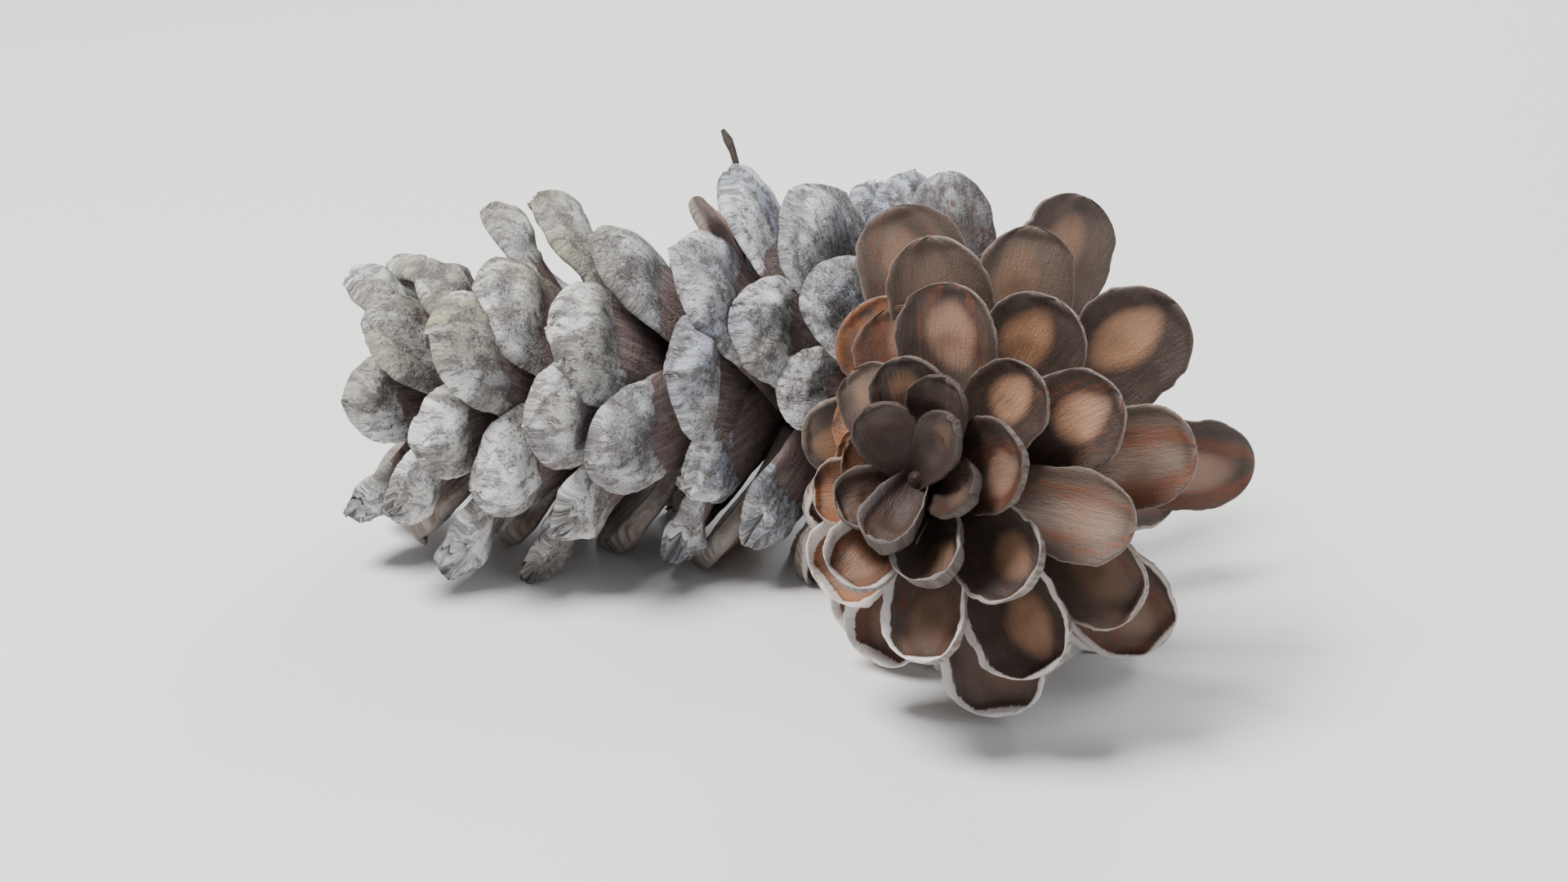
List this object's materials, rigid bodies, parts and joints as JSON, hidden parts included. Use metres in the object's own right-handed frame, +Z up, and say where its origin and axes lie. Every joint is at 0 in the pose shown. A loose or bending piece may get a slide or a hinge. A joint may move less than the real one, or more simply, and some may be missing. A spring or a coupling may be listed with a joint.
{
  "type": "pine cone",
  "caption": "Open, weathered pine cone lying on its side: a long cone bent in a curve, with swept-back grey scales at its base and a fan of brown scales round its tip.",
  "frame": {"origin": "on the surface that the cone lies on, under the middle of its box", "axes": "+X along the straight part of the cone, from its broken stalk towards the bend; +Y away from the tip, which faces -Y and a little back towards -X; +Z up"},
  "size_m": [0.1356, 0.1036, 0.0681],
  "materials": {
    "cone_scales": "dry, rough, weathered wood"
  },
  "bodies": {
    "root": {"pine_cone": "cone_scales"}
  },
  "joints": []
}
